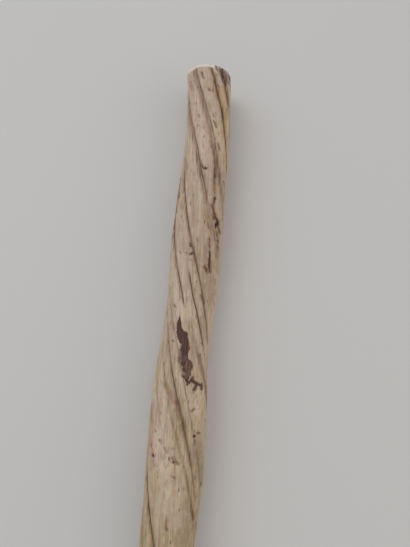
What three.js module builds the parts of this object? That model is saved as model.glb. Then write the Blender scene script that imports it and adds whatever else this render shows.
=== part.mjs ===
import * as THREE from 'three';
import { mergeVertices } from 'three/addons/utils/BufferGeometryUtils.js';

// Narwhal tusk, grown as one piece, lying on its side. Millimetres, +Z up.
// It runs along X, with the root end at -X and the tip at +X.
// A station is a distance along the tusk from the flat end of the root.
// Angles round the tusk are in degrees, from the line that is uppermost at the root end.

const tuskLength = 1920;

// Mean radius along the tusk: the root is a little slimmer than the part that
// stood in the gum, and from there the tusk tapers all the way to the tip.
const girths = [
  { station: 0, radius: 25.1 },
  { station: 60, radius: 24.7 },
  { station: 105, radius: 24.1 },
  { station: 200, radius: 26.0 },
  { station: 255, radius: 26.1 },
  { station: 340, radius: 27.4 },
  { station: 400, radius: 27.2 },
  { station: 480, radius: 26.7 },
  { station: 700, radius: 25.7 },
  { station: 1200, radius: 20.2 },
  { station: 1650, radius: 13.6 },
  { station: 1890, radius: 8.6 },
];
const tipDomeLength = 30;
const smoothTipLength = 220; // the spiral is worn away over this last stretch

// The root end: a flat worn face, a rounded rim, and the dimple left by the pulp.
const rimRadius = 2.5;
const pulpMouthRadius = 7;
const pulpDepth = 6;

// The spiral is left-handed. Its rate swings gently about the mean along the tusk.
const turnRate = 0.694; // degrees for each millimetre
const turnSwing = 11.7; // degrees
const turnSwingLength = 1500;

// Broad swellings of the cross-section, as shares of the radius, which wind with the spiral.
const swellings = [
  { count: 1, height: 0.102, crest: -14 },
  { count: 2, height: 0.055, crest: 26 },
  { count: 3, height: 0.036, crest: 87 },
];

// Long grooves, by their angle at the root. Depth is a share of the radius and half width
// is in degrees. Each is deepest at one station and again every repeat further on, with
// the share `least` of that depth left between, and it sways a few degrees to each side.
const grooves = [
  { angle: 4, depth: 0.055, halfWidth: 5, deepest: 30, repeat: 415, least: 0.1,
    sway: 3, swayLength: 880, swayStart: 450 },
  { angle: 43, depth: 0.055, halfWidth: 7, deepest: 50, repeat: 460, least: 0.2,
    sway: 1.5, swayLength: 120, swayStart: 0 },
  { angle: 90, depth: 0.06, halfWidth: 6.5, deepest: 85, repeat: 400, least: 0.1,
    sway: 2, swayLength: 170, swayStart: 145 },
  { angle: 151, depth: 0.055, halfWidth: 5, deepest: 190, repeat: 430, least: 0.15,
    sway: 5, swayLength: 230, swayStart: 150 },
  { angle: 170.5, depth: 0.035, halfWidth: 4, deepest: 255, repeat: 420, least: 0.15,
    sway: 5, swayLength: 260, swayStart: 230 },
  { angle: 189, depth: 0.045, halfWidth: 5, deepest: 315, repeat: 460, least: 0.1,
    sway: 4.5, swayLength: 180, swayStart: 270 },
  { angle: 203, depth: 0.05, halfWidth: 5, deepest: 205, repeat: 430, least: 0.1,
    sway: 1.5, swayLength: 110, swayStart: 185 },
  { angle: 239, depth: 0.012, halfWidth: 3, deepest: 320, repeat: 400, least: 0.2,
    sway: 2, swayLength: 150, swayStart: 225 },
  { angle: 259.5, depth: 0.07, halfWidth: 5.5, deepest: 385, repeat: 520, least: 0.35,
    sway: 5, swayLength: 320, swayStart: 275 },
  { angle: 278, depth: 0.03, halfWidth: 4, deepest: 400, repeat: 480, least: 0.15,
    sway: 8, swayLength: 300, swayStart: 310 },
  { angle: 310, depth: 0.045, halfWidth: 6, deepest: 1000, repeat: 900, least: 0,
    sway: 3, swayLength: 200, swayStart: 100 },
  { angle: 336, depth: 0.03, halfWidth: 5, deepest: 25, repeat: 900, least: 0.1,
    sway: 2, swayLength: 150, swayStart: 115 },
];
// Past the gum the grooves are deeper, by this share of their depth at the root.
const gumStation = 480;
const exposedStation = 900;
const exposedDeepening = 0.6;
const grooveFlare = 1.5; // how quickly a groove's sides level out
const fadeSharpness = 1.5; // how quickly a groove's depth drops away from its deepest station

// The whole tusk bows a little to one side and slightly upwards, by this much at mid-length.
const bow = 26;
const bowTilt = 18.45;

// The turn about Y that lays it down on the three swellings that it rests on.
const restPitch = 0.599;

// Facets: rings along the tusk, and columns that follow the spiral from groove to groove.
const ringSpacing = 24;
const columnSpacing = 9;
const rimSteps = 3;
const domeSteps = 5;

const { degToRad, lerp, smoothstep, euclideanModulo } = THREE.MathUtils;

function cosine(degrees) {
  return Math.cos(degToRad(degrees));
}

function wave(along, length) {
  return cosine((360 * along) / length);
}

// Smooth curve through the girths, as cubic pieces that share their slopes.
function meanRadius(station) {
  const slope = (k) => {
    const before = girths[Math.max(k - 1, 0)];
    const after = girths[Math.min(k + 1, girths.length - 1)];
    return (after.radius - before.radius) / (after.station - before.station);
  };
  let k = 0;
  while (k < girths.length - 2 && station >= girths[k + 1].station) k += 1;
  const span = girths[k + 1].station - girths[k].station;
  const q = (station - girths[k].station) / span;
  const rise = q * q * (3 - 2 * q);
  const leave = q * (1 - q) * (1 - q) * span;
  const arrive = q * q * (q - 1) * span;
  return lerp(girths[k].radius, girths[k + 1].radius, rise) + leave * slope(k) + arrive * slope(k + 1);
}

// Height of the surface above the mean radius, as a share of it, before the spiral turns it.
function relief(angle, station) {
  let height = 0;
  const deepening = 1 + exposedDeepening * smoothstep(station, gumStation, exposedStation);
  for (const swelling of swellings) {
    height += swelling.height * cosine(swelling.count * (angle - swelling.crest));
  }
  for (const groove of grooves) {
    const across = euclideanModulo(angle - groove.angle + 180, 360) - 180;
    const section = (1 + (across / groove.halfWidth) ** 2) ** -grooveFlare;
    const strength = (0.5 + 0.5 * wave(station - groove.deepest, groove.repeat)) ** fadeSharpness;
    height -= deepening * groove.depth * section * lerp(groove.least, 1, strength);
  }
  return height * (1 - smoothstep(station, tuskLength - smoothTipLength, tuskLength));
}

// Sideways wandering of the grooves, shared out smoothly between neighbouring grooves.
function sway(angle, station) {
  const first = grooves[0].angle;
  const turned = euclideanModulo(angle - first, 360) + first;
  let k = 0;
  while (k < grooves.length - 1 && turned >= grooves[k + 1].angle) k += 1;
  const here = grooves[k];
  const next = grooves[(k + 1) % grooves.length];
  const nextAngle = k === grooves.length - 1 ? first + 360 : next.angle;
  const swayOf = (groove) => groove.sway * wave(station - groove.swayStart, groove.swayLength);
  return lerp(swayOf(here), swayOf(next), smoothstep(turned, here.angle, nextAngle));
}

function spiralTurn(station) {
  return turnRate * station + turnSwing * Math.sin((2 * Math.PI * station) / turnSwingLength);
}

// Half-section of the tusk: pulp dimple, root face, rim, side and tip dome.
function halfSection() {
  const rootRadius = meanRadius(0);
  const points = [new THREE.Vector2(0, pulpDepth), new THREE.Vector2(pulpMouthRadius, 0)];
  for (let k = 0; k < rimSteps; k += 1) {
    const bend = (90 * k) / rimSteps;
    const inset = rimRadius * (1 - cosine(90 - bend));
    points.push(new THREE.Vector2(rootRadius - inset, rimRadius * (1 - cosine(bend))));
  }
  const domeStart = tuskLength - tipDomeLength;
  const domeRadius = meanRadius(domeStart);
  const rings = Math.round((domeStart - rimRadius) / ringSpacing);
  for (let k = 0; k < rings; k += 1) {
    const station = lerp(rimRadius, domeStart, k / rings);
    points.push(new THREE.Vector2(meanRadius(station), station));
  }
  for (let k = 0; k < domeSteps; k += 1) {
    const bend = (90 * k) / domeSteps;
    const station = domeStart + tipDomeLength * cosine(90 - bend);
    points.push(new THREE.Vector2(domeRadius * cosine(bend), station));
  }
  points.push(new THREE.Vector2(0, tuskLength));
  return points;
}

function columnAngles() {
  const angles = [];
  grooves.forEach((groove, k) => {
    const last = k === grooves.length - 1;
    const nextAngle = last ? grooves[0].angle + 360 : grooves[k + 1].angle;
    const steps = Math.max(2, Math.round((nextAngle - groove.angle) / columnSpacing));
    for (let step = 0; step < steps; step += 1) {
      angles.push(lerp(groove.angle, nextAngle, step / steps));
    }
  });
  return angles;
}

// A turned blank, whose every vertex then takes its place on the twisted, grooved and bowed tusk.
function tuskGeometry() {
  const section = halfSection();
  const angles = columnAngles();
  const geometry = new THREE.LatheGeometry(section, angles.length);
  const position = geometry.attributes.position;
  for (let k = 0; k < position.count; k += 1) {
    const angle = angles[Math.floor(k / section.length) % angles.length];
    const { x: blankRadius, y: station } = section[k % section.length];
    const radius = blankRadius * (1 + relief(angle, station));
    const turned = degToRad(angle + sway(angle, station) - spiralTurn(station));
    const bowed = bow * (1 - (2 * station / tuskLength - 1) ** 2);
    const x = radius * Math.sin(turned) - bowed * cosine(bowTilt);
    const z = radius * Math.cos(turned) + bowed * Math.sin(degToRad(bowTilt));
    position.setXYZ(k, x, station, z);
  }
  // Each four-sided facet is split along its shorter diagonal, which runs with the spiral.
  const corners = geometry.index.array;
  for (let k = 0; k < corners.length; k += 6) {
    const [a, b, d, c] = corners.slice(k, k + 4);
    corners.set([a, b, c, c, d, a], k);
  }
  geometry.deleteAttribute('normal');
  geometry.deleteAttribute('uv');
  geometry.rotateZ(-Math.PI / 2);
  const solid = mergeVertices(geometry);
  solid.computeVertexNormals();
  return solid;
}

const weatheredIvory = new THREE.MeshStandardMaterial({
  name: 'weathered ivory',
  color: 0xac9c88,
  roughness: 0.6,
  metalness: 0,
});

const tusk = new THREE.Mesh(tuskGeometry(), weatheredIvory);
tusk.name = 'tusk';
tusk.rotation.y = degToRad(restPitch);

const narwhalTusk = new THREE.Group();
narwhalTusk.add(tusk);

// The origin is under the middle of the tusk, on the surface that it lies on.
const extent = new THREE.Box3().setFromObject(narwhalTusk, true);
const middle = extent.getCenter(new THREE.Vector3());
tusk.position.set(-middle.x, -middle.y, -extent.min.z);

export default narwhalTusk;
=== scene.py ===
import math

import bpy
import numpy as np
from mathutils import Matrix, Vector, noise


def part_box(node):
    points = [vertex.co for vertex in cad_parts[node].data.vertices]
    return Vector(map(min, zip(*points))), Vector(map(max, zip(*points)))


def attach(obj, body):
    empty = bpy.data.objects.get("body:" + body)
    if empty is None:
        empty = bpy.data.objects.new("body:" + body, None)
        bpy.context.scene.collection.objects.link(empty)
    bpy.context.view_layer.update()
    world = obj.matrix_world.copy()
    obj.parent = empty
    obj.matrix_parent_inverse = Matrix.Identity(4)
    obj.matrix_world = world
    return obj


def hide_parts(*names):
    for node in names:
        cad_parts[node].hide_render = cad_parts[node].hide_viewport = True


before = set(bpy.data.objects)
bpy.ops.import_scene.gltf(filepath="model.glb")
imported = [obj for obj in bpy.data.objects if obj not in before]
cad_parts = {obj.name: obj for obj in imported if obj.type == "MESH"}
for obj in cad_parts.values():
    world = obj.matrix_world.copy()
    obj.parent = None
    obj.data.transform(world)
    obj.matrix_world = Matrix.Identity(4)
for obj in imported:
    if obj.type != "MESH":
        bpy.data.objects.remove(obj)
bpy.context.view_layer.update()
mm = 0.001


# Colours are written as sRGB hex, and the shaders want them linear.
def toLinear(hexColour):
    channels = [int(hexColour[k : k + 2], 16) / 255 for k in (1, 3, 5)]
    return [c / 12.92 if c <= 0.04045 else ((c + 0.055) / 1.055) ** 2.4 for c in channels] + [1]


# A whole-number key is a socket by its place, "stops" fills a colour ramp, and any other
# name is a property of the node or else one of its sockets. A link may name a whole node.
def addNode(tree, kind, settings=None, links=None):
    node = tree.nodes.new(kind)
    for name, value in (settings or {}).items():
        if name == "stops":
            elements = node.color_ramp.elements
            while len(elements) < len(value):
                elements.new(0.5)
            for element, (place, colour) in zip(elements, value):
                element.position = place
                element.color = toLinear(colour)
        elif isinstance(name, str) and hasattr(node, name):
            setattr(node, name, value)
        else:
            node.inputs[name].default_value = value
    for name, source in (links or {}).items():
        if isinstance(source, bpy.types.Node):
            source = next(output for output in source.outputs if output.enabled)
        tree.links.new(source, node.inputs[name])
    return node


# Everything about the form, in millimetres and degrees. A station is a distance from the
# root end, and angles are counted round the tusk from its uppermost line at the root.
tusk = {
    "length": 1920,
    "girths": (  # station and mean radius
        (0, 25.1), (60, 24.7), (105, 24.1), (200, 26.0), (255, 26.1), (340, 27.4), (400, 27.2), (480, 26.7),
        (700, 25.7), (1200, 20.2), (1650, 13.6), (1890, 8.6),
    ),
    "tipDome": 30,  # the tip is rounded off over this length
    "smoothTip": 220,  # the spiral is worn away over this last stretch
    "rim": 2.5,  # radius of the rounded edge of the root face
    "pulpMouth": 7,  # radius of the dimple in that face
    "pulpDepth": 6,
    "dimplePower": 1.5,
    "turnRate": 0.694,  # degrees a millimetre, left handed, and it swings slowly about this
    "turnSwing": 11.7,
    "turnSwingLength": 1500,
    "swellings": ((1, 0.102, -14), (2, 0.055, 26), (3, 0.036, 87)),  # how many round, height, crest
    "gum": 480,  # the gum is taken to have reached this far
    "exposed": 900,  # from there to here the grooves deepen by the share below
    "deepening": 0.6,
    "flare": 1.5,  # how quickly a groove's sides level out
    "fade": 1.5,  # how quickly a groove dies away along the tusk
    "bow": 26,
    "bowTilt": 18.45,  # degrees by which the bow stands up from the floor
    "restPitch": 0.599,  # degrees that the tusk is tipped by, to lie on its low places
}

# Depth is a share of the radius. Lines are the brown hairlines in and beside the groove,
# each as degrees from its middle, and stain is how brown they and the groove are. Where
# two stations are given as stained, the gum kept the groove clean outside them.
grooves = (
    dict(angle=4, depth=0.055, halfWidth=5, deepest=30, repeat=415, least=0.1,
         sway=3, swayLength=880, swayStart=450, stain=1.0, lines=(0,)),
    dict(angle=43, depth=0.055, halfWidth=7, deepest=50, repeat=460, least=0.2,
         sway=1.5, swayLength=120, swayStart=0, stain=0.8, lines=(-5,)),
    dict(angle=90, depth=0.06, halfWidth=6.5, deepest=85, repeat=400, least=0.1,
         sway=2, swayLength=170, swayStart=145, stain=0.9, lines=(-4,)),
    dict(angle=151, depth=0.055, halfWidth=5, deepest=190, repeat=430, least=0.15,
         sway=5, swayLength=230, swayStart=150, stain=0.9, lines=(0,)),
    dict(angle=170.5, depth=0.035, halfWidth=4, deepest=255, repeat=420, least=0.15,
         sway=5, swayLength=260, swayStart=230, stain=0.8, stained=(224, 292), lines=(0,)),
    dict(angle=189, depth=0.045, halfWidth=5, deepest=315, repeat=460, least=0.1,
         sway=4.5, swayLength=180, swayStart=270, stain=0.85, stained=(303, 358), lines=(-3,)),
    dict(angle=203, depth=0.05, halfWidth=5, deepest=205, repeat=430, least=0.1,
         sway=1.5, swayLength=110, swayStart=185, stain=0.9, stained=(150, 250), lines=(0,)),
    dict(angle=239, depth=0.012, halfWidth=3, deepest=320, repeat=400, least=0.2,
         sway=2, swayLength=150, swayStart=225, stain=0.4, lines=(0,)),
    dict(angle=259.5, depth=0.07, halfWidth=5.5, deepest=385, repeat=520, least=0.35,
         sway=5, swayLength=320, swayStart=275, stain=0.75, stained=(235, 400), lines=(0,)),
    dict(angle=278, depth=0.03, halfWidth=4, deepest=400, repeat=480, least=0.15,
         sway=8, swayLength=300, swayStart=310, stain=0.5, lines=()),
    dict(angle=310, depth=0.045, halfWidth=6, deepest=1000, repeat=900, least=0,
         sway=3, swayLength=200, swayStart=100, stain=0.8, lines=(0,)),
    dict(angle=336, depth=0.03, halfWidth=5, deepest=25, repeat=900, least=0.1,
         sway=2, swayLength=150, swayStart=115, stain=0.8, lines=(0,)),
)


def cosine(degrees):
    return np.cos(np.radians(degrees))


def smoothStep(value, low, high):
    share = np.clip((value - low) / (high - low), 0, 1)
    return share * share * (3 - 2 * share)


def meanRadius(station):
    places, radii = np.array(tusk["girths"], float).T
    slopes = np.empty_like(radii)
    slopes[1:-1] = (radii[2:] - radii[:-2]) / (places[2:] - places[:-2])
    slopes[0] = (radii[1] - radii[0]) / (places[1] - places[0])
    slopes[-1] = (radii[-1] - radii[-2]) / (places[-1] - places[-2])
    k = np.clip(np.searchsorted(places, station, side="right") - 1, 0, len(places) - 2)
    span = places[k + 1] - places[k]
    q = (station - places[k]) / span
    rise = q * q * (3 - 2 * q)
    curve = q * (1 - q) * ((1 - q) * slopes[k] - q * slopes[k + 1]) * span
    return radii[k] + (radii[k + 1] - radii[k]) * rise + curve


def grooveStrength(groove, station):
    swing = 0.5 + 0.5 * cosine(360 * (station - groove["deepest"]) / groove["repeat"])
    return groove["least"] + (1 - groove["least"]) * swing ** tusk["fade"]


def across(angle, middle):
    return (angle - middle + 180) % 360 - 180


def spiralFade(station):
    return 1 - smoothStep(station, tusk["length"] - tusk["smoothTip"], tusk["length"])


# Height above the mean radius, as a share of it, before the spiral turns it.
def relief(angle, station):
    height = sum(share * cosine(count * (angle - crest)) for count, share, crest in tusk["swellings"])
    deepening = 1 + tusk["deepening"] * smoothStep(station, tusk["gum"], tusk["exposed"])
    for groove in grooves:
        section = (1 + (across(angle, groove["angle"]) / groove["halfWidth"]) ** 2) ** -tusk["flare"]
        height = height - deepening * groove["depth"] * section * grooveStrength(groove, station)
    return height * spiralFade(station)


# Sideways wandering of the grooves, shared out smoothly between neighbours.
def sway(angle, station):
    knots = np.array([groove["angle"] for groove in grooves] + [grooves[0]["angle"] + 360], float)
    waves = np.array([
        groove["sway"] * cosine(360 * (station - groove["swayStart"]) / groove["swayLength"])
        for groove in grooves
    ])
    waves = np.concatenate([waves, waves[:1]])
    turned = (angle - knots[0]) % 360 + knots[0]
    k = np.clip(np.searchsorted(knots, turned, side="right") - 1, 0, len(grooves) - 1)
    share = smoothStep((turned - knots[k]) / (knots[k + 1] - knots[k]), 0, 1)
    column = np.arange(len(station))
    return waves[k, column] * (1 - share) + waves[k + 1, column] * share


def spiralTurn(station):
    swing = np.sin(2 * np.pi * station / tusk["turnSwingLength"])
    return tusk["turnRate"] * station + tusk["turnSwing"] * swing


# The skin is a net of rings and columns. Rings stand closer where there is more to show.
net = {
    "rootSpacing": 1.1,
    "shaftSpacing": 7,
    "fineTo": 490,
    "dimpleRings": 4,
    "rimRings": 6,
    "faceRings": 9,
    "domeRings": 10,
    "columns": 140,
    "leastBetween": 4,  # columns from one groove to the next
    "crowding": 0.5,  # how far the columns draw in towards the grooves
}


# Each ring is a station and the radius that the plain turned blank has there.
def blankSection():
    rim, length, dome = tusk["rim"], tusk["length"], tusk["tipDome"]
    rootRadius, domeRadius = float(meanRadius(0.0)), float(meanRadius(length - dome))
    rings = [(0, tusk["pulpDepth"])]
    for k in range(1, net["dimpleRings"]):  # the dimple has a rounded bottom
        bend = 90 * k / net["dimpleRings"]
        mouth = tusk["pulpMouth"] * math.sin(math.radians(bend))
        rings.append((mouth, tusk["pulpDepth"] * cosine(bend) ** tusk["dimplePower"]))
    for radius in np.linspace(tusk["pulpMouth"], rootRadius - rim, net["faceRings"], endpoint=False):
        rings.append((radius, 0))
    for bend in np.linspace(0, 90, net["rimRings"], endpoint=False):
        rings.append((rootRadius - rim * (1 - math.sin(math.radians(bend))), rim * (1 - cosine(bend))))
    fine = np.arange(rim, net["fineTo"], net["rootSpacing"])
    coarse = np.arange(net["fineTo"], length - dome, net["shaftSpacing"])
    for station in np.concatenate([fine, coarse]):
        rings.append((float(meanRadius(station)), station))
    for bend in np.linspace(0, 90, net["domeRings"], endpoint=False):
        rings.append((domeRadius * cosine(bend), length - dome * (1 - math.sin(math.radians(bend)))))
    rings.append((0, length))
    return np.array(rings)


def columnAngles():
    angles = []
    starts = [groove["angle"] for groove in grooves]
    for start, end in zip(starts, starts[1:] + [starts[0] + 360]):
        steps = max(net["leastBetween"], round((end - start) / 360 * net["columns"]))
        share = np.arange(steps) / steps
        share = share - net["crowding"] * np.sin(2 * np.pi * share) / (2 * np.pi)
        angles.extend(start + (end - start) * share)
    return np.array(angles)


rings = blankSection()
columns = columnAngles()
ringCount, columnCount = len(rings), len(columns)
angle = np.tile(columns, ringCount)
station = np.repeat(rings[:, 1], columnCount)
blankRadius = np.repeat(rings[:, 0], columnCount)
swayed = angle + sway(angle, station)
faceEnd = net["dimpleRings"] + net["faceRings"]
onFace = np.repeat(np.arange(ringCount), columnCount) < faceEnd + net["rimRings"]
print("net of", ringCount, "rings and", columnCount, "columns")


# Marks are short strokes from one (angle, station) to another. Reach is half their width
# and blur is how far they fade beyond it, both in millimetres.
def stroke(start, end, reach, blur, dark, depth=0.0):
    return dict(start=start, end=end, reach=reach, blur=blur, dark=dark, depth=depth)


fissures = (
    # old cracks and pits, 90 to 290 mm from the root
    stroke((47.5, 94.5), (50.5, 107.5), 0.4, 1.2, 0.35, 0.1),
    stroke((49.5, 108.5), (54, 113.5), 0.6, 1.2, 0.5, 0.2),
    stroke((54, 113.5), (58.5, 120.5), 0.7, 1.0, 0.65, 0.3),
    stroke((60, 122), (64.5, 128), 0.4, 1.0, 0.5, 0.1),
    stroke((64.5, 128), (68, 134), 0.3, 1.0, 0.35, 0.1),
    stroke((68.5, 141.5), (71.5, 144), 0.7, 0.7, 0.95, 0.5),
    stroke((72, 144.5), (79, 150), 0.5, 1.0, 0.6, 0.2),
    stroke((79, 150), (78.5, 155), 0.5, 1.0, 0.6, 0.4),
    stroke((77.5, 154), (75.5, 160), 0.5, 1.0, 0.7, 0.4),
    stroke((80.5, 157.5), (82.5, 163), 0.5, 1.0, 0.65, 0.3),
    stroke((77, 161), (72, 164), 0.8, 0.8, 0.85, 0.4),
    stroke((71, 161.5), (69.5, 165.5), 0.5, 0.8, 0.8, 0.3),
    stroke((75, 165.5), (68, 163.5), 0.9, 0.8, 0.9, 0.6),
    stroke((78, 168.5), (71, 166), 1.2, 0.7, 1.0, 1.2),
    stroke((80.5, 168.5), (81.5, 172), 0.7, 0.8, 0.8, 0.4),
    stroke((71.5, 168.5), (69, 175), 0.6, 0.7, 0.85, 0.6),
    stroke((80.5, 174), (79, 180), 0.5, 0.7, 0.85, 0.4),
    stroke((81.5, 184), (79.5, 184.5), 0.5, 0.5, 0.8, 0.3),
    stroke((82.5, 190), (80.5, 190.5), 0.5, 0.5, 0.8, 0.3),
    stroke((81.5, 112.5), (75.5, 112.5), 0.7, 0.6, 0.9, 0.5),
    stroke((84.5, 107), (82.5, 111), 0.4, 0.8, 0.5, 0.2),
    stroke((99.5, 169), (99.5, 174), 0.5, 1.0, 0.5, 0.1),
    stroke((103.5, 184), (107.5, 194), 0.4, 0.9, 0.6, 0.2),
    stroke((107.5, 196), (109.5, 201.5), 0.65, 0.6, 1.0, 0.7),
    stroke((110, 203), (112.5, 207), 0.7, 0.6, 1.0, 0.8),
    stroke((113, 208.5), (114.5, 212), 0.9, 0.6, 1.0, 1.0),
    stroke((114.5, 213), (114.5, 217), 0.5, 1.0, 0.9, 0.6),
    stroke((129.5, 213.5), (124, 215.5), 0.9, 0.8, 0.65, 0.3),
    stroke((127.5, 217), (124.5, 217), 0.4, 0.8, 0.6, 0.1),
    stroke((136.5, 186), (135, 188.5), 0.5, 0.8, 0.5, 0.3),
    stroke((160, 191), (158, 191.5), 0.6, 0.5, 0.8, 0.5),
    stroke((160, 193.5), (157, 194), 0.6, 0.5, 0.8, 0.5),
    stroke((163, 202.5), (156, 201), 0.6, 0.5, 0.9, 0.6),
    stroke((188, 200.5), (187, 202.5), 0.4, 0.7, 0.45, 0.2),
    stroke((173, 201.5), (171.5, 201.5), 0.4, 0.7, 0.45, 0.2),
    stroke((167, 208.5), (163, 208), 0.4, 0.6, 0.45, 0.2),
    stroke((159.5, 233), (158.5, 234), 0.5, 0.6, 0.6, 0.3),
    stroke((226, 254.5), (223, 256.5), 0.5, 0.8, 0.5, 0.3),
    stroke((248.5, 289.5), (243.5, 289.5), 0.5, 0.9, 0.55, 0.2),
    stroke((178, 289), (172.5, 289), 0.5, 0.7, 0.65, 0.2),
    # the frayed foot of the gum patch
    stroke((233, 328.5), (216.5, 321), 0.6, 0.6, 0.9),
    stroke((221, 324.5), (210.5, 327), 1.6, 0.6, 0.85),
    stroke((210.5, 327), (203, 328.5), 1.0, 0.6, 0.8),
    stroke((203, 328.5), (194, 325.5), 0.5, 0.8, 0.65),
    stroke((221.5, 333), (214, 328.5), 0.9, 0.6, 0.8),
    stroke((203, 332), (198, 329), 1.0, 0.6, 0.8),
    stroke((237, 321.5), (232, 325.5), 0.6, 0.8, 0.75),
    stroke((240, 304), (241, 309), 0.2, 0.8, 0.5),
    stroke((235.5, 307), (232, 316.5), 0.3, 0.8, 0.6),
    # hairlines near the grooves
    stroke((153.5, 106), (157, 134), 0.2, 0.8, 0.6, 0.1),
    stroke((286.5, 312), (285, 336), 0.2, 0.8, 0.45),
    stroke((255.4, 403), (254.6, 433), 0.1, 0.8, 0.5),
    # scattered pits, 350 to 460 mm from the root
    stroke((236, 353), (228, 350), 0.4, 0.7, 0.6, 0.2),
    stroke((241, 376), (238.5, 375.5), 0.7, 0.5, 0.95, 0.5),
    stroke((231, 373), (226.5, 373), 0.6, 0.7, 0.6, 0.2),
    stroke((303, 392.5), (300.5, 388.5), 0.3, 0.7, 0.35, 0.15),
    stroke((299.5, 388), (289, 388), 0.3, 0.7, 0.3, 0.1),
    stroke((302, 396), (301, 400), 0.3, 0.7, 0.3, 0.1),
    stroke((290, 394.5), (289, 398), 0.3, 0.6, 0.4, 0.15),
    stroke((295, 400), (293.5, 399.5), 0.5, 0.4, 1.0, 0.5),
    stroke((289, 399.5), (289, 401), 0.45, 0.5, 0.85, 0.4),
    stroke((307, 388), (306, 391), 0.2, 0.6, 0.4, 0.1),
    stroke((296.5, 396), (295, 397), 0.3, 0.4, 0.6, 0.2),
    stroke((285, 400), (280.5, 400.5), 0.3, 0.6, 0.3, 0.1),
    stroke((305, 412), (297.5, 413), 0.4, 0.7, 0.4, 0.1),
    stroke((337.5, 398), (335, 398), 0.6, 0.4, 1.0, 0.6),
    stroke((340.5, 391), (338.5, 389), 0.4, 0.9, 0.5, 0.2),
    stroke((323, 376.5), (320, 375.5), 0.5, 0.6, 0.5, 0.2),
    stroke((316, 383.5), (314, 382.5), 0.5, 0.6, 0.5, 0.2),
    stroke((305.5, 358.5), (303.5, 358.5), 0.4, 0.7, 0.4, 0.2),
    stroke((335, 458), (331.5, 451), 0.1, 0.8, 0.4, 0.2),
    stroke((331, 450), (328.5, 446.5), 0.2, 0.8, 0.5, 0.3),
    stroke((334.5, 456.5), (333, 458), 0.5, 0.7, 0.45, 0.3),
    # pits and nicks in the first 125 mm
    stroke((26.5, 9.5), (26.5, 15.5), 0.9, 0.8, 0.65, 0.5),
    stroke((22.5, 27), (20, 29), 0.6, 0.7, 0.55, 0.4),
    stroke((21.5, 29.5), (18, 29), 0.4, 0.7, 0.4, 0.3),
    stroke((13, 27), (12, 30), 0.4, 0.6, 0.5, 0.2),
    stroke((-2, 21), (-6, 23.5), 0.5, 0.8, 0.4, 0.2),
    stroke((65, 21), (64, 26.5), 0.5, 1.2, 0.4, 0.2),
    stroke((26.5, 54), (26.5, 57), 0.5, 0.7, 0.45, 0.2),
    stroke((27.5, 63), (26.5, 67), 0.6, 0.8, 0.5, 0.2),
    stroke((29.5, 83.5), (28.5, 89.5), 0.6, 1.0, 0.55, 0.2),
    stroke((28, 120), (25.5, 124), 0.7, 0.8, 0.7, 0.3),
    stroke((62, 56.5), (60, 58.5), 0.5, 0.9, 0.35, 0.1),
    stroke((71, 66.5), (69, 68.5), 0.4, 0.9, 0.4, 0.1),
)

# Soft brown stains that have soaked in, darkest where dirt was held, and a chain of dark strokes that is
# painted shade along the tusk's outline as the camera sees it.
smearsAndEdgeShade = (
    stroke((49.5, 103.5), (58.5, 119.5), 1.2, 2.5, 0.6),
    stroke((62, 125.5), (69.5, 142), 0.8, 2.0, 0.5),
    stroke((81, 150), (77, 160), 1.5, 2.5, 0.6),
    stroke((79, 160), (69.5, 174), 2.0, 3.5, 0.55),
    stroke((80.5, 176), (79, 192), 0.8, 3.0, 0.45),
    stroke((112, 205), (114.5, 216), 1.5, 2.0, 0.8),
    stroke((128, 212), (124.5, 218), 1.5, 2.5, 0.6),
    stroke((122, 216.5), (115, 216), 0.8, 2.0, 0.6),
    stroke((44.5, 117), (37.5, 139), 2.0, 4.0, 0.45),
    stroke((149, 99), (135, 109), 2.5, 4.0, 0.45),
    stroke((338, 7), (338, 36.5), 1.0, 2.0, 0.8),
    stroke((329, 8.5), (331, 36.5), 0.8, 1.8, 0.7),
    stroke((57.5, 109.5), (64, 118), 0.5, 2.0, 0.3),
    stroke((151.5, 243), (148.5, 249), 1.6, 2.0, 0.75),
    stroke((147.5, 255), (145, 285), 1.0, 3.0, 0.5),
    stroke((174.5, 262), (173, 286), 0.6, 1.8, 0.5),
    stroke((334, 355), (334, 368), 1.0, 3.0, 0.5),
    stroke((232, 300), (237, 318), 1.2, 2.5, 0.45),
    # painted shade: these six strokes keep to the tusk's outline in the camera's view, a dark line of shade
    # along that edge rather than a stain
    stroke((163, 112), (162, 136), 1.0, 2.5, 0.5),
    stroke((178, 118), (181, 141), 1.4, 2.2, 0.9),
    stroke((190, 133), (192, 157), 1.4, 2.2, 0.9),
    stroke((202, 149), (204, 175), 1.4, 2.2, 0.9),
    stroke((214, 167), (216, 190), 1.2, 2.2, 0.8),
    stroke((226, 183), (229, 206), 1.2, 2.2, 0.8),
    # brown stains again from here on
    stroke((262.5, 346.5), (257, 366.5), 1.2, 2.5, 0.6),
    stroke((262, 366), (257, 400), 0.6, 2.0, 0.3),
    stroke((250, 338), (252, 366), 0.1, 1.4, 0.35),
    stroke((268, 352), (264, 376), 0.1, 1.4, 0.4),
    stroke((276, 405.5), (268, 453), 1.0, 4.0, 0.4),
    stroke((273.5, 441), (268, 453), 1.6, 2.0, 0.9),
    stroke((242, 272.5), (238, 276.5), 1.5, 3.5, 0.5),
    stroke((203, 268), (195, 297), 0.8, 2.5, 0.25),
    stroke((185.5, 310), (178, 351), 0.8, 2.0, 0.5),
    stroke((232.5, 423), (226, 426), 1.0, 2.5, 0.6),
    stroke((253, 461.5), (244.5, 468), 1.5, 3.0, 0.5),
    stroke((99, 223.5), (96, 227.5), 1.0, 2.5, 0.5),
)

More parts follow.
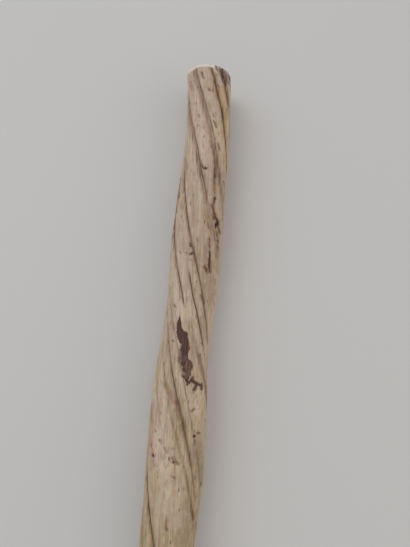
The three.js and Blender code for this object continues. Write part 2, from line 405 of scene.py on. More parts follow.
# Slow changes of tone over the skin, worn paler on the ridges and tea-brown in the hollows.
tones = {
    "worn": dict(colour="#e9d6c0", marks=(
        stroke((66, 3.5), (44, 3.5), 1.0, 2.0, 0.95),
        stroke((-3, 3), (-5, 7), 0.8, 1.5, 0.9),
        stroke((60, 41), (68, 104), 3.0, 5.0, 0.3),
        stroke((107.5, 79.5), (111, 108.5), 3.0, 5.0, 0.2),
        stroke((11, 65), (13, 87), 2.5, 4.0, 0.3),
        stroke((190, 205.5), (213, 262.5), 4.0, 5.0, 0.4),
        stroke((185.5, 240), (189, 262), 2.0, 4.0, 0.4),
        stroke((210.5, 337.5), (220.5, 351.5), 3.0, 4.0, 0.45),
        stroke((291, 345.5), (305, 380.5), 5.0, 6.0, 0.3),
        stroke((306, 380.5), (320, 403), 5.0, 6.0, 0.5),
        stroke((304, 405), (309.5, 450.5), 5.0, 6.0, 0.3),
        stroke((245, 318), (242.5, 346), 2.0, 4.0, 0.25),
        stroke((160, 229), (171, 234), 0.3, 0.5, 0.9),
        stroke((163, 227.5), (158.5, 230), 0.2, 0.5, 0.7),
        stroke((99, 151), (98, 153.5), 0.2, 0.5, 0.7),
        stroke((111.5, 150.5), (110.5, 153), 0.2, 0.5, 0.6),
        stroke((113.5, 163), (112.5, 167), 0.3, 0.5, 0.8),
        stroke((206, 275), (204, 278), 0.2, 0.5, 0.7),
    )),
    "teaBrown": dict(colour="#94674d", marks=(
        stroke((43, 85), (39, 115), 2.5, 3.5, 0.45),
        stroke((97, 166), (88.5, 195.5), 4.0, 5.0, 0.35),
        stroke((113, 193), (107, 185), 1.0, 2.5, 0.4),
        stroke((114.5, 216), (102, 235.5), 3.0, 5.0, 0.35),
        stroke((166, 265), (169, 284), 2.0, 3.0, 0.35),
        stroke((65.5, 16), (61.5, 27.5), 1.5, 3.0, 0.35),
        stroke((175, 147), (168.5, 153), 2.0, 4.0, 0.35),
        stroke((242.5, 385), (240, 415.5), 2.0, 3.0, 0.25),
        stroke((118, 160), (140, 215), 5.0, 8.0, 0.25),
        stroke((172, 200), (190, 232), 4.0, 7.0, 0.2),
        stroke((137, 165), (165, 205), 5.0, 8.0, 0.2),
        stroke((127, 120), (135, 155), 4.0, 8.0, 0.2),
        stroke((112, 198), (135, 246), 5.0, 7.0, 0.45),
        stroke((137, 240), (158, 275), 4.0, 7.0, 0.25),
        stroke((284, 440), (308, 492), 6.0, 8.0, 0.25),
        stroke((192, 298), (205, 330), 3.0, 6.0, 0.2),
        stroke((346, 442), (374, 492), 4.0, 7.0, 0.2),
        stroke((228.5, 358), (229.5, 376), 1.5, 3.0, 0.25),
        stroke((338.5, 387), (335, 404.5), 1.2, 4.0, 0.5),
        stroke((284, 333), (267, 345), 2.0, 4.5, 0.55),
        stroke((283, 356), (275, 398), 0.8, 2.5, 0.35),
        stroke((263, 362), (258, 402), 1.4, 3.0, 0.45),
        stroke((273, 479), (265, 491), 1.5, 4.0, 0.4),
    )),
    "olive": dict(colour="#7d7350", marks=(
        stroke((92.5, 41.5), (98, 76), 3.0, 5.0, 0.35),
        stroke((27.5, 42), (29.5, 50), 1.5, 3.0, 0.3),
        stroke((14.5, 94), (17.5, 112), 2.0, 4.0, 0.35),
        stroke((109, 192), (104, 184), 0.8, 2.0, 0.5),
        stroke((85, 190), (79, 214.5), 2.0, 5.0, 0.35),
        stroke((233.5, 241), (240.5, 262.5), 2.5, 5.0, 0.3),
        stroke((197, 270), (192, 306), 1.4, 3.0, 0.35),
        stroke((213, 358), (203, 381), 2.0, 4.0, 0.25),
        stroke((236, 385), (230, 419.5), 4.0, 6.0, 0.5),
        stroke((276, 420), (292, 470), 5.0, 8.0, 0.25),
        stroke((110, 239.5), (107, 247.5), 1.5, 3.0, 0.4),
    )),
    "peach": dict(colour="#cf9c78", marks=(
        stroke((163, 143), (166, 158), 1.0, 2.5, 0.35),
        stroke((103, 175), (102, 187), 1.0, 2.5, 0.35),
        stroke((211, 343), (212, 357), 1.5, 3.0, 0.4),
        stroke((341, 383), (339, 396), 1.2, 2.5, 0.6),
        stroke((13, 463), (15, 474), 0.8, 2.0, 0.6),
        stroke((281, 333), (268, 344), 1.0, 3.0, 0.3),
        stroke((79, 155), (71, 158), 0.8, 2.5, 0.4),
    )),
    "honey": dict(colour="#d0ae70", marks=(
        stroke((-8, 26), (-1, 60), 3.0, 4.0, 0.55),
        stroke((6, 62), (13, 104), 4.0, 5.0, 0.45),
        stroke((129, 117), (139, 144.5), 3.0, 5.0, 0.28),
        stroke((17, 16), (13, 30), 2.0, 4.0, 0.2),
        stroke((130.5, 250), (125, 263.5), 3.0, 4.0, 0.25),
        stroke((60, 149.5), (52.5, 161.5), 2.0, 4.0, 0.3),
        stroke((279.5, 472), (271, 492), 1.5, 4.0, 0.35),
        stroke((205.5, 262), (200, 275), 2.0, 4.0, 0.25),
    )),
}

# Dried gum left on the tooth: brown at the root, and one ragged maroon patch.
rootGum = (
    stroke((345, 2.5), (306.5, 4), 1.8, 3.0, 1.0),
    stroke((340, 5), (337.5, 16), 1.2, 3.0, 0.95),
    stroke((326.5, 6.5), (322.5, 12), 1.0, 3.0, 0.9),
    stroke((350.5, 1), (348.5, 6), 0.4, 1.2, 0.9),
)
gumOutline = (
    (216, 264.5), (215, 271), (215.5, 276.5), (213, 278.5), (207.5, 280), (207, 283),
    (210, 293), (214, 297.5), (218, 300), (216, 304.5), (212, 306.5), (213, 311),
    (217.5, 316.5), (225.5, 322.5), (230.5, 325.5), (236, 324.5), (240, 321), (234, 318),
    (237, 315), (234, 312.5), (238, 309.5), (234, 307.5), (236, 304), (232.5, 300),
    (230.5, 296), (227.5, 292), (229.5, 288), (233, 286.5), (232, 281.5), (226, 271.5),
    (222, 268),
)
# Where slanting scratches have worn that patch thin.
gumWorn = (
    stroke((239, 299), (239, 318), 1.5, 4.0, 0.9),
    stroke((221, 306), (230, 323), 3.0, 3.0, 0.2),
)


tiny = 1e-9  # keeps a division off zero


# Millimetres across and along the skin, from one place on it.
def skinOffset(place):
    toMillimetres = math.radians(1) * float(meanRadius(float(place[1])))
    return across(swayed, place[0]) * toMillimetres, station - place[1]


def strokeDistance(mark):
    sideways, along = skinOffset(mark["start"])
    toMillimetres = math.radians(1) * float(meanRadius(float(mark["start"][1])))
    run = (across(mark["end"][0], mark["start"][0]) * toMillimetres, mark["end"][1] - mark["start"][1])
    squared = max(run[0] ** 2 + run[1] ** 2, tiny)
    share = np.clip((sideways * run[0] + along * run[1]) / squared, 0, 1)
    return np.hypot(sideways - share * run[0], along - share * run[1])


def strokeField(marks, quantity, wider=0.0):
    field = np.zeros(len(station))
    for mark in marks:
        reach = mark["reach"] + wider
        share = 1 - smoothStep(strokeDistance(mark), reach, reach + mark["blur"])
        field = np.maximum(field, share * mark[quantity])
    return field


# How deep inside the nearest stroke a place lies, in millimetres, negative outside it.
def strokeDepth(marks):
    return np.max([mark["reach"] - strokeDistance(mark) for mark in marks], axis=0)


# The same for an outline on the skin.
def outlineDepth(outline):
    centre = outline[0]
    sideways, along = skinOffset(centre)
    toMillimetres = math.radians(1) * float(meanRadius(float(centre[1])))
    corners = [(across(a, centre[0]) * toMillimetres, s - centre[1]) for a, s in outline]
    nearest = np.full(len(station), np.inf)
    inside = np.zeros(len(station), bool)
    for (x0, y0), (x1, y1) in zip(corners, corners[1:] + corners[:1]):
        run = (x1 - x0, y1 - y0)
        squared = run[0] ** 2 + run[1] ** 2
        share = np.clip(((sideways - x0) * run[0] + (along - y0) * run[1]) / squared, 0, 1)
        nearest = np.minimum(nearest, np.hypot(sideways - x0 - share * run[0], along - y0 - share * run[1]))
        crosses = (y0 > along) != (y1 > along)
        inside ^= crosses & (sideways < x0 + (along - y0) / (run[1] or tiny) * run[0])
    return np.where(inside, nearest, -nearest)


# The rest of the tusk is marked in the same way, by chance. Sizes are shares of a full mark,
# which has a reach of 0.7 mm where the tusk is 26 mm in radius.
scatter = {
    "count": 70,
    "seed": 11,
    "tipClear": 60,
    "handMarked": 95,  # inside the gum, none this near the uppermost line, where marks are listed one by one
    "leastSize": 0.3,
    "fullRadius": 26,
    "reach": 0.7,
    "blur": (0.5, 0.6),  # least, and more with size
    "depth": 0.8,
    "turned": 6,
    "along": (-1, 6),
    "leastDark": 0.4,
    "tipDark": 0.4,
}


def scatteredFissures():
    chance = np.random.default_rng(scatter["seed"])
    marks = []
    while len(marks) < scatter["count"]:
        place = chance.uniform(0, tusk["length"] - scatter["tipClear"])
        turn = chance.uniform(0, 360)
        uppermost = across(turn - spiralTurn(place), 0)
        if place < tusk["gum"] and abs(uppermost) < scatter["handMarked"]:
            continue
        size = chance.uniform(scatter["leastSize"], 1) ** 2
        size = size * float(meanRadius(place)) / scatter["fullRadius"]
        endTurn = turn + chance.uniform(-scatter["turned"], scatter["turned"]) * size
        end = (endTurn, place + chance.uniform(*scatter["along"]) * size)
        worn = scatter["tipDark"] + (1 - scatter["tipDark"]) * float(spiralFade(place))
        dark = chance.uniform(scatter["leastDark"], 1) * worn
        reach = scatter["reach"] * size
        blur = scatter["blur"][0] + scatter["blur"][1] * size
        marks.append(stroke((turn, place), end, reach, blur, dark, scatter["depth"] * size))
    return tuple(marks)


fissures = fissures + scatteredFissures()

# How brown each groove is, as a soft band along it.
grooveStain = {
    "width": 1.2,  # share of the groove's half width
    "power": 0.8,
    "tipShare": 0.35,
    "edge": (12, 4),  # millimetres outside and inside the stained stretch
    "beyondGum": (10, 90),
}
grooveBand = np.zeros(len(station))
for groove in grooves:
    worn = grooveStain["tipShare"] + (1 - grooveStain["tipShare"]) * spiralFade(station)
    strength = groove["stain"] * grooveStrength(groove, station) ** grooveStain["power"] * worn
    if "stained" in groove:
        first, last = groove["stained"]
        outside, inside = grooveStain["edge"]
        shown = smoothStep(station, first - outside, first + inside)
        shown = shown * (1 - smoothStep(station, last - inside, last + outside))
        beyond = [tusk["gum"] + reach for reach in grooveStain["beyondGum"]]
        strength = strength * np.maximum(shown, smoothStep(station, *beyond))
    offset = across(angle, groove["angle"]) / (grooveStain["width"] * groove["halfWidth"])
    grooveBand = np.maximum(grooveBand, strength * np.exp(-(offset ** 2)))
# Distance from the rim: along the tusk beyond it, and negative where it is inwards on the root face.
rootRadius = float(meanRadius(0.0))
roundingSlack = 0.01
onFlat = onFace & (blankRadius < rootRadius - tusk["rim"] + roundingSlack)
fromRim = np.where(onFlat, blankRadius - rootRadius, station)
gumDepth = outlineDepth(gumOutline)
print("stains and", len(fissures), "cracks and pits laid out")


# Fine form in millimetres: narrow groove floors, fibres, slow lumps, and the marks.
fineForm = {
    "floor": 0.45,  # depth of the narrow floor, and its share of the groove's half width
    "floorShare": 0.3,
    "fibre": 0.22,
    "fibreNoise": (60, 4, 3, 3.7),  # length, width, octaves, and where in the noise it starts
    "lump": 0.45,
    "lumpNoise": (55, 22, 2, 9.1),
    "gumThickness": 0.3,
    "gumEdge": (-0.3, 0.5),
    "rimClear": (-1, 4),  # the fine form starts over these stations
    "lean": 0.55,  # inside the gum the fibres turn this many degrees a millimetre back from the grooves
    "scratchLean": 1.4,  # scratches in the gum patch slant by this many degrees a millimetre
    "markLimit": 5,  # depths inside marks are kept to this either way
    "haloReach": 1.5,  # a crack's tone spreads this far past it
    "gumOverFace": (-9, -1),  # dried gum fades out over these places on the root face
}


# Noise on the skin, stretched along the fibres.
def skinNoise(length, width, octaves, shift):
    turned = np.radians(grainAngle)
    spots = np.stack([
        station / length + shift,
        grainRadius * np.sin(turned) / width,
        grainRadius * np.cos(turned) / width,
    ], 1)
    return np.array([noise.fractal(Vector(spot), 1.0, 2.0, octaves) for spot in spots.tolist()])


grainAngle = swayed - fineForm["lean"] * np.minimum(station, tusk["gum"])
grainRadius = np.maximum(blankRadius, 1)
fine = fineForm["fibre"] * skinNoise(*fineForm["fibreNoise"])
fine += fineForm["lump"] * skinNoise(*fineForm["lumpNoise"])
for groove in grooves:
    offset = across(angle, groove["angle"]) / (fineForm["floorShare"] * groove["halfWidth"])
    floorShape = np.exp(-(offset ** 2))
    fine -= fineForm["floor"] * floorShape * grooveStrength(groove, station) * spiralFade(station)
fine *= np.clip(blankRadius / tusk["girths"][0][1], 0, 1)  # gentler where the tusk is thin
fine -= strokeField(fissures, "depth")
fine += fineForm["gumThickness"] * smoothStep(gumDepth, *fineForm["gumEdge"])
fine *= smoothStep(station, *fineForm["rimClear"]) * ~onFace

radius = blankRadius * (1 + relief(angle, station)) + fine
turned = np.radians(swayed - spiralTurn(station))
bowed = tusk["bow"] * (1 - (2 * station / tusk["length"] - 1) ** 2)
sideways = radius * np.sin(turned) - bowed * cosine(tusk["bowTilt"])
upwards = radius * np.cos(turned) + bowed * math.sin(math.radians(tusk["bowTilt"]))
pitch = math.radians(tusk["restPitch"])
points = mm * np.stack([
    station * math.cos(pitch) + upwards * math.sin(pitch),
    -sideways,
    upwards * math.cos(pitch) - station * math.sin(pitch),
], 1)

# It takes the place of the CAD tusk: the same middle and the same underside.
low, high = (np.array(corner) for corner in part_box("tusk"))
points += (low + high) / 2 - (points.min(0) + points.max(0)) / 2
points[:, 2] += low[2] - points[:, 2].min()

# Corners of each cell of the net, split along the diagonal that runs with the spiral.
ringOf, columnOf = np.meshgrid(np.arange(ringCount - 1), np.arange(columnCount), indexing="ij")
cells = (((0, 0), (0, 1), (1, 1)), ((0, 0), (1, 1), (1, 0)))
cornerRings = np.concatenate([
    np.stack([ringOf + r for r, c in cell], -1).reshape(-1, 3) for cell in cells])
cornerColumns = np.concatenate([
    np.stack([columnOf + c for r, c in cell], -1).reshape(-1, 3) for cell in cells])
corners = cornerRings * columnCount + cornerColumns % columnCount
corners[cornerRings == 0] = 0  # the two ends of the net close on one point each
corners[cornerRings == ringCount - 1] = (ringCount - 1) * columnCount
sound = (corners != np.roll(corners, 1, axis=1)).all(1)  # drop those that have closed up
corners, cornerRings, cornerColumns = corners[sound], cornerRings[sound], cornerColumns[sound]
used, corners = np.unique(corners, return_inverse=True)
corners = corners.reshape(-1, 3)

mesh = bpy.data.meshes.new("tuskSkin")
mesh.from_pydata(points[used].tolist(), [], corners.tolist())
mesh.shade_smooth()
skin = bpy.data.objects.new("tuskSkin", mesh)
bpy.context.scene.collection.objects.link(skin)


# What the material reads at each point. Straightened places run along the grooves, grain
# along the fibres, and slanted places along the scratches in the gum patch.
def unwound(turn):
    turned = np.radians(turn)
    return np.stack([station, blankRadius * np.sin(turned), blankRadius * np.cos(turned)], 1)


pointPlaces = {
    "straightened": unwound(angle),
    "grain": unwound(grainAngle),
    "slanted": unwound(swayed - fineForm["scratchLean"] * station),
}
pointFacts = {
    "grooveBand": grooveBand,
    "crackDepth": np.clip(strokeDepth(fissures), -fineForm["markLimit"], fineForm["markLimit"]),
    "crackTone": strokeField(fissures, "dark", wider=fineForm["haloReach"]),
    # brown stains, and painted shade along the tusk's outline
    "smear": strokeField(smearsAndEdgeShade, "dark"),
    "rootGum": strokeField(rootGum, "dark") * smoothStep(fromRim, *fineForm["gumOverFace"]),
    "gumWorn": strokeField(gumWorn, "dark"),
    "gumDepth": np.clip(gumDepth, -fineForm["markLimit"], fineForm["markLimit"]),
    "fromRim": fromRim,
}
for name, tone in tones.items():
    pointFacts[name] = strokeField(tone["marks"], "dark")
for name, values in pointFacts.items():
    mesh.attributes.new(name, "FLOAT", "POINT").data.foreach_set("value", values[used].astype(np.float32))
for name, places in pointPlaces.items():
    attribute = mesh.attributes.new(name, "FLOAT_VECTOR", "POINT")
    attribute.data.foreach_set("vector", places[used].astype(np.float32).ravel())

# The skin unrolls into strips laid one above the other, with the root face beside them.
unrolled = {"strip": 480, "gap": 6, "sheet": 760, "around": 165, "face": 60}
stripOf = (rings[cornerRings.min(1), 1] // unrolled["strip"])[:, None]
aroundShare = cornerColumns / columnCount
acrossSheet = rings[cornerRings, 1] - stripOf * unrolled["strip"] + unrolled["gap"]
upSheet = stripOf * (unrolled["around"] + unrolled["gap"]) + aroundShare * unrolled["around"]
onRootFace = cornerRings.max(1) < faceEnd + 1
faceTurn = 2 * np.pi * aroundShare
faceRadius = rings[cornerRings, 0]
faceMiddle = unrolled["strip"] + 2 * unrolled["gap"] + unrolled["face"]
onFaceSheet = np.stack([
    faceMiddle + faceRadius * np.sin(faceTurn), unrolled["face"] + faceRadius * np.cos(faceTurn)], -1)
onSkinSheet = np.stack([acrossSheet, upSheet], -1)
flat = np.where(onRootFace[:, None, None], onFaceSheet, onSkinSheet) / unrolled["sheet"]
mesh.uv_layers.new(name="OFBake").data.foreach_set("uv", flat.astype(np.float32).ravel())
print("skin meshed,", len(corners), "triangles")


# Weathered tusk ivory: a thin tan coat of cementum over dentine, grown in long fibres. Handling
# and the sea have left it dull and slightly waxy, with brown dirt held in grooves and cracks.
ivory = {
    "roughness": 0.56,
    "ior": 1.54,
    "waxyGlow": 0.05,
    "glowDepth": 1.2 * mm,
    "glowSpread": (1.0, 0.7, 0.45),  # red light travels furthest in it
    "polish": 0.05,
    "grooveDullness": 0.15,
    "streakDullness": 0.15,
    "alongTusk": (  # by share of the length: pinker where the gum was, palest at the worn tip
        (0.0, "#d2baa4"), (0.045, "#d2baa3"), (0.08, "#c8b09a"), (0.115, "#cfb9a1"), (0.17, "#cdb79a"),
        (0.21, "#d1bb9a"), (0.242, "#b8a17b"), (0.3, "#c8b38c"), (0.5, "#cfbb96"), (0.85, "#dccba9"),
        (1.0, "#eadfc8"),
    ),
    "pinkBlotch": "#bd9f8c",
    "oliveBlotch": "#b5a27a",
    "paleFibre": "#e0d0ba",
    "darkFibre": "#9c7d5e",
    "fleck": "#644630",
    "fleckWidth": 2.6,
    "fleckStretch": 3.4,
    "grooveBrown": "#8a6547",
    "lineBrown": "#51331d",
    "lineHalfWidth": 0.6,  # in millimetres, as are the wandering, the fraying and the flecks
    "lineWander": 1.6,
    # brown of the stains, also used for the painted shade along the outline
    "smearAndEdgeShadeBrown": "#6d4528",
    "crackHalo": "#824a2e",
    "crackBrown": "#482a15",
    "crackDeep": "#150b07",
    "crackFray": 1.7,
    "rimCream": "#f8ede0",
    "faceBrown": "#9a8064",
    "rootGum": "#4a2f1f",
    "gumStops": ((0.3, "#2a1a16"), (0.45, "#40221b"), (0.58, "#5e2a22"), (0.72, "#84563f")),
    "gumEdge": (-0.5, 0.4),
    "gumCover": 0.97,
    "gumFray": 2.6,
    "fibreHeight": 0.25 * mm,
}

# Noise patterns on the skin: the places they read, size across in millimetres, stretch along
# the grain, detail, and where in the noise they start. The finest fibres, taken as 0.5 mm, are
# too thin to tell apart here, so they are drawn three times as wide.
patterns = {
    "pinkBlotch": ("grain", 34, 2.5, 3, 4),
    "oliveBlotch": ("grain", 38, 3.0, 3, 31),
    "streak": ("grain", 5, 14, 4, 12),
    "fibre": ("grain", 1.5, 14, 3, 57),
    "mottle": ("grain", 3.2, 1.8, 4, 93),
    "patchy": ("straightened", 7, 5, 3, 71),
    "broken": ("straightened", 4, 10, 3, 88),
    "wander": ("straightened", 9, 2, 2, 14),
    "frayed": ("grain", 1.3, 4, 3, 65),
    "soaked": ("grain", 2.6, 4, 3, 23),
    "scratch": ("slanted", 1.6, 8, 2, 45),
}
cloudRoughness = 0.55

# Shares that hold a wash of colour back: where what they follow starts and ends, and the
# value of the share at each.
shareSpans = {
    "fleckKept": (0.72, 0.92, 0, 1),
    "lineStrong": (0.1, 0.7, 0, 1),
    "lineBroken": (0.3, 0.55, 0.25, 1),
    "soaked": (0.3, 0.62, 0.3, 1),
    "uneven": (0.25, 0.7, 0.4, 1),
    "deepTone": (0.75, 1.0, 0, 1),
    "rimInside": (-6.0, -1.0, 0, 1),
    "scratched": (0.42, 0.58, 0, 0.85),
}


def weatheredIvory():
    material = bpy.data.materials.new("weatheredIvory")
    material.use_nodes = True
    tree = material.node_tree
    tree.nodes.clear()
    facts, places, cloud = {}, {}, {}
    for name in pointFacts:
        facts[name] = addNode(tree, "ShaderNodeAttribute", {"attribute_name": name}).outputs["Fac"]
    for name in pointPlaces:
        places[name] = addNode(tree, "ShaderNodeAttribute", {"attribute_name": name}).outputs["Vector"]
    for name, (place, size, stretch, detail, start) in patterns.items():
        stretched = addNode(tree, "ShaderNodeMapping", {
            "Scale": (1 / stretch, 1, 1), "Location": (100 * start, 0, 0),
        }, {"Vector": places[place]})
        cloud[name] = addNode(tree, "ShaderNodeTexNoise", {
            "Scale": 1 / size, "Detail": detail, "Roughness": cloudRoughness,
        }, {"Vector": stretched})

    # small flecks of dirt lying along the fibres
    fleckPlace = addNode(tree, "ShaderNodeMapping", {
        "Scale": (1 / ivory["fleckStretch"], 1, 1),
    }, {"Vector": places["grain"]})
    fleck = addNode(tree, "ShaderNodeTexVoronoi", {
        "Scale": 1 / ivory["fleckWidth"],
    }, {"Vector": fleckPlace})
    fleckLuck = addNode(tree, "ShaderNodeSeparateColor", {}, {"Color": fleck.outputs["Color"]})

    # hairlines: the distance to the nearest, in radians round the tusk
    straightened = addNode(tree, "ShaderNodeSeparateXYZ", {}, {"Vector": places["straightened"]})
    turn = addNode(tree, "ShaderNodeMath", {"operation": "ARCTAN2"}, {
        0: straightened.outputs["Y"], 1: straightened.outputs["Z"]})
    wandered = ivory["lineWander"] / rootRadius
    wander = addNode(tree, "ShaderNodeMath", {
        "operation": "MULTIPLY_ADD", 1: 2 * wandered, 2: -wandered,
    }, {0: cloud["wander"]})
    turn = addNode(tree, "ShaderNodeMath", {"operation": "ADD"}, {0: turn, 1: wander})
    nearest = None
    for groove in grooves:
        for line in groove["lines"]:
            place = math.radians(across(groove["angle"] + line, 0))
            beside = addNode(tree, "ShaderNodeMath", {"operation": "SUBTRACT", 1: place}, {0: turn})
            gap = addNode(tree, "ShaderNodeMath", {"operation": "ABSOLUTE"}, {0: beside})
            if nearest:
                gap = addNode(tree, "ShaderNodeMath", {"operation": "MINIMUM"}, {0: nearest, 1: gap})
            nearest = gap
    lineHalfWidth = ivory["lineHalfWidth"] / rootRadius

    # depths inside marks, frayed along the fibres
    frayed = {}
    for name, fray in (("crackDepth", ivory["crackFray"]), ("gumDepth", ivory["gumFray"])):
        swing = addNode(tree, "ShaderNodeMath", {
            "operation": "MULTIPLY_ADD", 1: 2 * fray, 2: -fray,
        }, {0: cloud["frayed"]})
        frayed[name] = addNode(tree, "ShaderNodeMath", {"operation": "ADD"}, {0: facts[name], 1: swing})

    followed = {
        "fleckKept": fleckLuck,
        "lineStrong": facts["grooveBand"],
        "lineBroken": cloud["broken"],
        "soaked": cloud["soaked"],
        "uneven": cloud["patchy"],
        "deepTone": facts["crackTone"],
        "rimInside": facts["fromRim"],
        "scratched": cloud["scratch"],
    }
    held = {}
    for name, (start, full, least, most) in shareSpans.items():
        held[name] = addNode(tree, "ShaderNodeMapRange", {
            "From Min": start, "From Max": full, "To Min": least, "To Max": most,
        }, {"Value": followed[name]})

    # Washes of colour from the ground up: colour, what it follows, where that starts and is
    # full, how strong it gets, and what else it is held back by.
    washes = [
        (ivory["pinkBlotch"], cloud["pinkBlotch"], 0.5, 0.68, 0.5),
        (ivory["oliveBlotch"], cloud["oliveBlotch"], 0.5, 0.68, 0.5),
        *((tone["colour"], facts[name], 0, 1, 1) for name, tone in tones.items()),
        (ivory["paleFibre"], cloud["streak"], 0.5, 0.72, 0.5),
        (ivory["darkFibre"], cloud["streak"], 0.48, 0.28, 0.5),
        (ivory["paleFibre"], cloud["fibre"], 0.5, 0.75, 0.5),
        (ivory["darkFibre"], cloud["fibre"], 0.5, 0.25, 0.65),
        (ivory["paleFibre"], cloud["mottle"], 0.52, 0.75, 0.45),
        (ivory["darkFibre"], cloud["mottle"], 0.48, 0.25, 0.5),
        (ivory["fleck"], fleck, 0.3, 0.15, 0.75, held["fleckKept"]),
        (ivory["grooveBrown"], facts["grooveBand"], 0, 1, 0.7, held["uneven"]),
        (ivory["lineBrown"], cloud["fibre"], 0.5, 0.3, 0.6, facts["grooveBand"]),
        (ivory["lineBrown"], nearest, 1.6 * lineHalfWidth, 0.4 * lineHalfWidth, 0.9,
         held["lineStrong"], held["lineBroken"]),
        (ivory["faceBrown"], facts["fromRim"], -2.0, -16.0, 0.8),
        (ivory["rimCream"], facts["fromRim"], 4.4, 2.4, 0.95, held["rimInside"]),
        # brown stains, and the painted shade along the tusk's outline
        (ivory["smearAndEdgeShadeBrown"], facts["smear"], 0, 1, 0.9, held["soaked"]),
        (ivory["rootGum"], facts["rootGum"], 0, 0.9, 0.95, held["soaked"]),
        (ivory["crackHalo"], frayed["crackDepth"], -2.2, 0.2, 0.6, facts["crackTone"]),
        (ivory["crackBrown"], frayed["crackDepth"], -0.6, 0.15, 1, facts["crackTone"]),
        (ivory["crackDeep"], frayed["crackDepth"], 0.1, 0.9, 0.95, held["deepTone"]),
    ]
    along = addNode(tree, "ShaderNodeMath", {"operation": "DIVIDE", 1: tusk["length"]}, {
        0: straightened.outputs["X"]})
    colour = addNode(tree, "ShaderNodeValToRGB", {"stops": ivory["alongTusk"]}, {"Fac": along})
    shares = {}
    for hexColour, source, start, full, strength, *heldBack in washes:
        share = addNode(tree, "ShaderNodeMapRange", {
            "interpolation_type": "SMOOTHSTEP", "From Min": start, "From Max": full, "To Max": strength,
        }, {"Value": source})
        for limit in heldBack:
            share = addNode(tree, "ShaderNodeMath", {"operation": "MULTIPLY"}, {0: share, 1: limit})
        colour = addNode(tree, "ShaderNodeMix", {"data_type": "RGBA", 7: toLinear(hexColour)}, {
            6: colour, 0: share})
        shares[hexColour] = share

    # the gum patch covers the rest, except where scratches have worn it away
    gumStart, gumFull = ivory["gumEdge"]
    gumOver = addNode(tree, "ShaderNodeMapRange", {
        "interpolation_type": "SMOOTHSTEP", "From Min": gumStart, "From Max": gumFull,
        "To Max": ivory["gumCover"],
    }, {"Value": frayed["gumDepth"]})
    gumGone = addNode(tree, "ShaderNodeMath", {"operation": "MULTIPLY"}, {
        0: held["scratched"], 1: facts["gumWorn"]})
    gumKept = addNode(tree, "ShaderNodeMath", {"operation": "SUBTRACT", 0: 1.0}, {1: gumGone})
    gumShare = addNode(tree, "ShaderNodeMath", {"operation": "MULTIPLY"}, {0: gumOver, 1: gumKept})
    gumColour = addNode(tree, "ShaderNodeValToRGB", {"stops": ivory["gumStops"]}, {"Fac": cloud["fibre"]})
    colour = addNode(tree, "ShaderNodeMix", {"data_type": "RGBA"}, {6: colour, 7: gumColour, 0: gumShare})

    # waxy where it is clean, duller in the grooves
    dull = addNode(tree, "ShaderNodeMath", {
        "operation": "MULTIPLY_ADD", 1: ivory["grooveDullness"], 2: ivory["roughness"] - ivory["polish"],
    }, {0: facts["grooveBand"]})
    roughness = addNode(tree, "ShaderNodeMath", {
        "operation": "MULTIPLY_ADD", 1: ivory["streakDullness"],
    }, {0: cloud["streak"], 2: dull})

    # fibres and mottling stand up, cracks lie low
    height = addNode(tree, "ShaderNodeMath", {"operation": "ADD"}, {0: cloud["fibre"], 1: cloud["streak"]})
    height = addNode(tree, "ShaderNodeMath", {"operation": "ADD"}, {0: height, 1: cloud["mottle"]})
    height = addNode(tree, "ShaderNodeMath", {"operation": "SUBTRACT"}, {
        0: height, 1: shares[ivory["crackBrown"]]})
    bump = addNode(tree, "ShaderNodeBump", {
        "Strength": 1.0, "Distance": ivory["fibreHeight"],
    }, {"Height": height})
    shader = addNode(tree, "ShaderNodeBsdfPrincipled", {
        "IOR": ivory["ior"],
        "Subsurface Weight": ivory["waxyGlow"],
        "Subsurface Scale": ivory["glowDepth"],
        "Subsurface Radius": ivory["glowSpread"],
    }, {"Base Color": colour, "Roughness": roughness, "Normal": bump})
    addNode(tree, "ShaderNodeOutputMaterial", {}, {"Surface": shader})
    return material


mesh.materials.append(weatheredIvory())
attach(skin, "root")
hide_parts("tusk")
print("ivory finished")


# A plain pale board of painted plaster, wide enough for every view.
board = {"side": 12.0, "colour": "#e0e0de", "roughness": 0.85}


def paintedPlaster():
    material = bpy.data.materials.new("paintedPlaster")
    material.use_nodes = True
    shader = material.node_tree.nodes["Principled BSDF"]
    shader.inputs["Base Color"].default_value = toLinear(board["colour"])
    shader.inputs["Roughness"].default_value = board["roughness"]
    return material


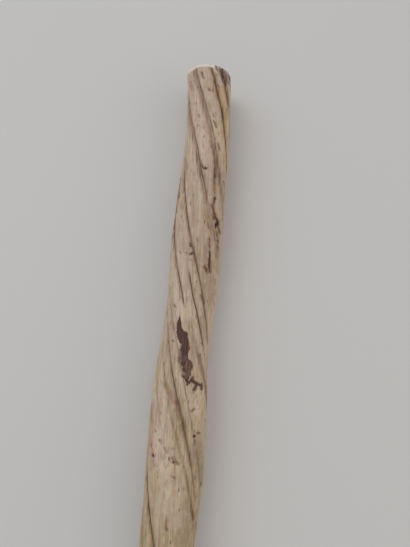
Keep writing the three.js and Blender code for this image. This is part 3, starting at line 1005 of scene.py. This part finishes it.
half = board["side"] / 2
floorMesh = bpy.data.meshes.new("floor")
floorCorners = [(-half, -half, 0), (half, -half, 0), (half, half, 0), (-half, half, 0)]
floorMesh.from_pydata(floorCorners, [], [(0, 1, 2, 3)])
floorMesh.materials.append(paintedPlaster())
floor = bpy.data.objects.new("floor", floorMesh)
floor.location.z = low[2]
bpy.context.scene.collection.objects.link(floor)

# Soft daylight from the upper left, a weak warm fill from the right, and a pale sky all round.
daylight = {
    "keyWatts": 15,
    "keySize": 2.2,
    "keyPlace": (-1.5, -1.5, 1.9),
    "key": "#ffffff",
    "fillWatts": 5,
    "fillSize": 1.8,
    "fillPlace": (-0.6, 1.7, 1.0),
    "fill": "#ffe2c4",
    "aim": (-0.7, 0, 0),
    "sky": "#f6f7fa",
    "skyStrength": 0.5,
}
for name in ("key", "fill"):
    light = bpy.data.objects.new(name + "Light", bpy.data.lights.new(name + "Light", "AREA"))
    light.data.shape = "DISK"
    light.data.size = daylight[name + "Size"]
    light.data.energy = daylight[name + "Watts"]
    light.data.color = toLinear(daylight[name])[:3]
    light.location = daylight[name + "Place"]
    aim = Vector(daylight["aim"]) - light.location
    light.rotation_euler = aim.to_track_quat("-Z", "Y").to_euler()
    bpy.context.scene.collection.objects.link(light)

world = bpy.data.worlds.new("paleSky")
world.use_nodes = True
world.node_tree.nodes["Background"].inputs["Color"].default_value = toLinear(daylight["sky"])
world.node_tree.nodes["Background"].inputs["Strength"].default_value = daylight["skyStrength"]
bpy.context.scene.world = world
bpy.context.scene.view_settings.view_transform = "Standard"

# The camera looks down on the root end, close enough for the rest of the tusk to run out of view.
camera = {
    "place": (-0.6904, -0.0022, 0.4580),
    "turn": (6.677, -2.236, 97.042),
    "lens": 27.05,
    "sensor": 36,
    "nearest": 0.01,
}
lookout = bpy.data.objects.new("camera", bpy.data.cameras.new("camera"))
lookout.location = camera["place"]
lookout.rotation_euler = [math.radians(turn) for turn in camera["turn"]]
lookout.data.lens = camera["lens"]
lookout.data.sensor_width = camera["sensor"]
lookout.data.clip_start = camera["nearest"]
bpy.context.scene.collection.objects.link(lookout)
bpy.context.scene.camera = lookout
print("floor, light and camera set")
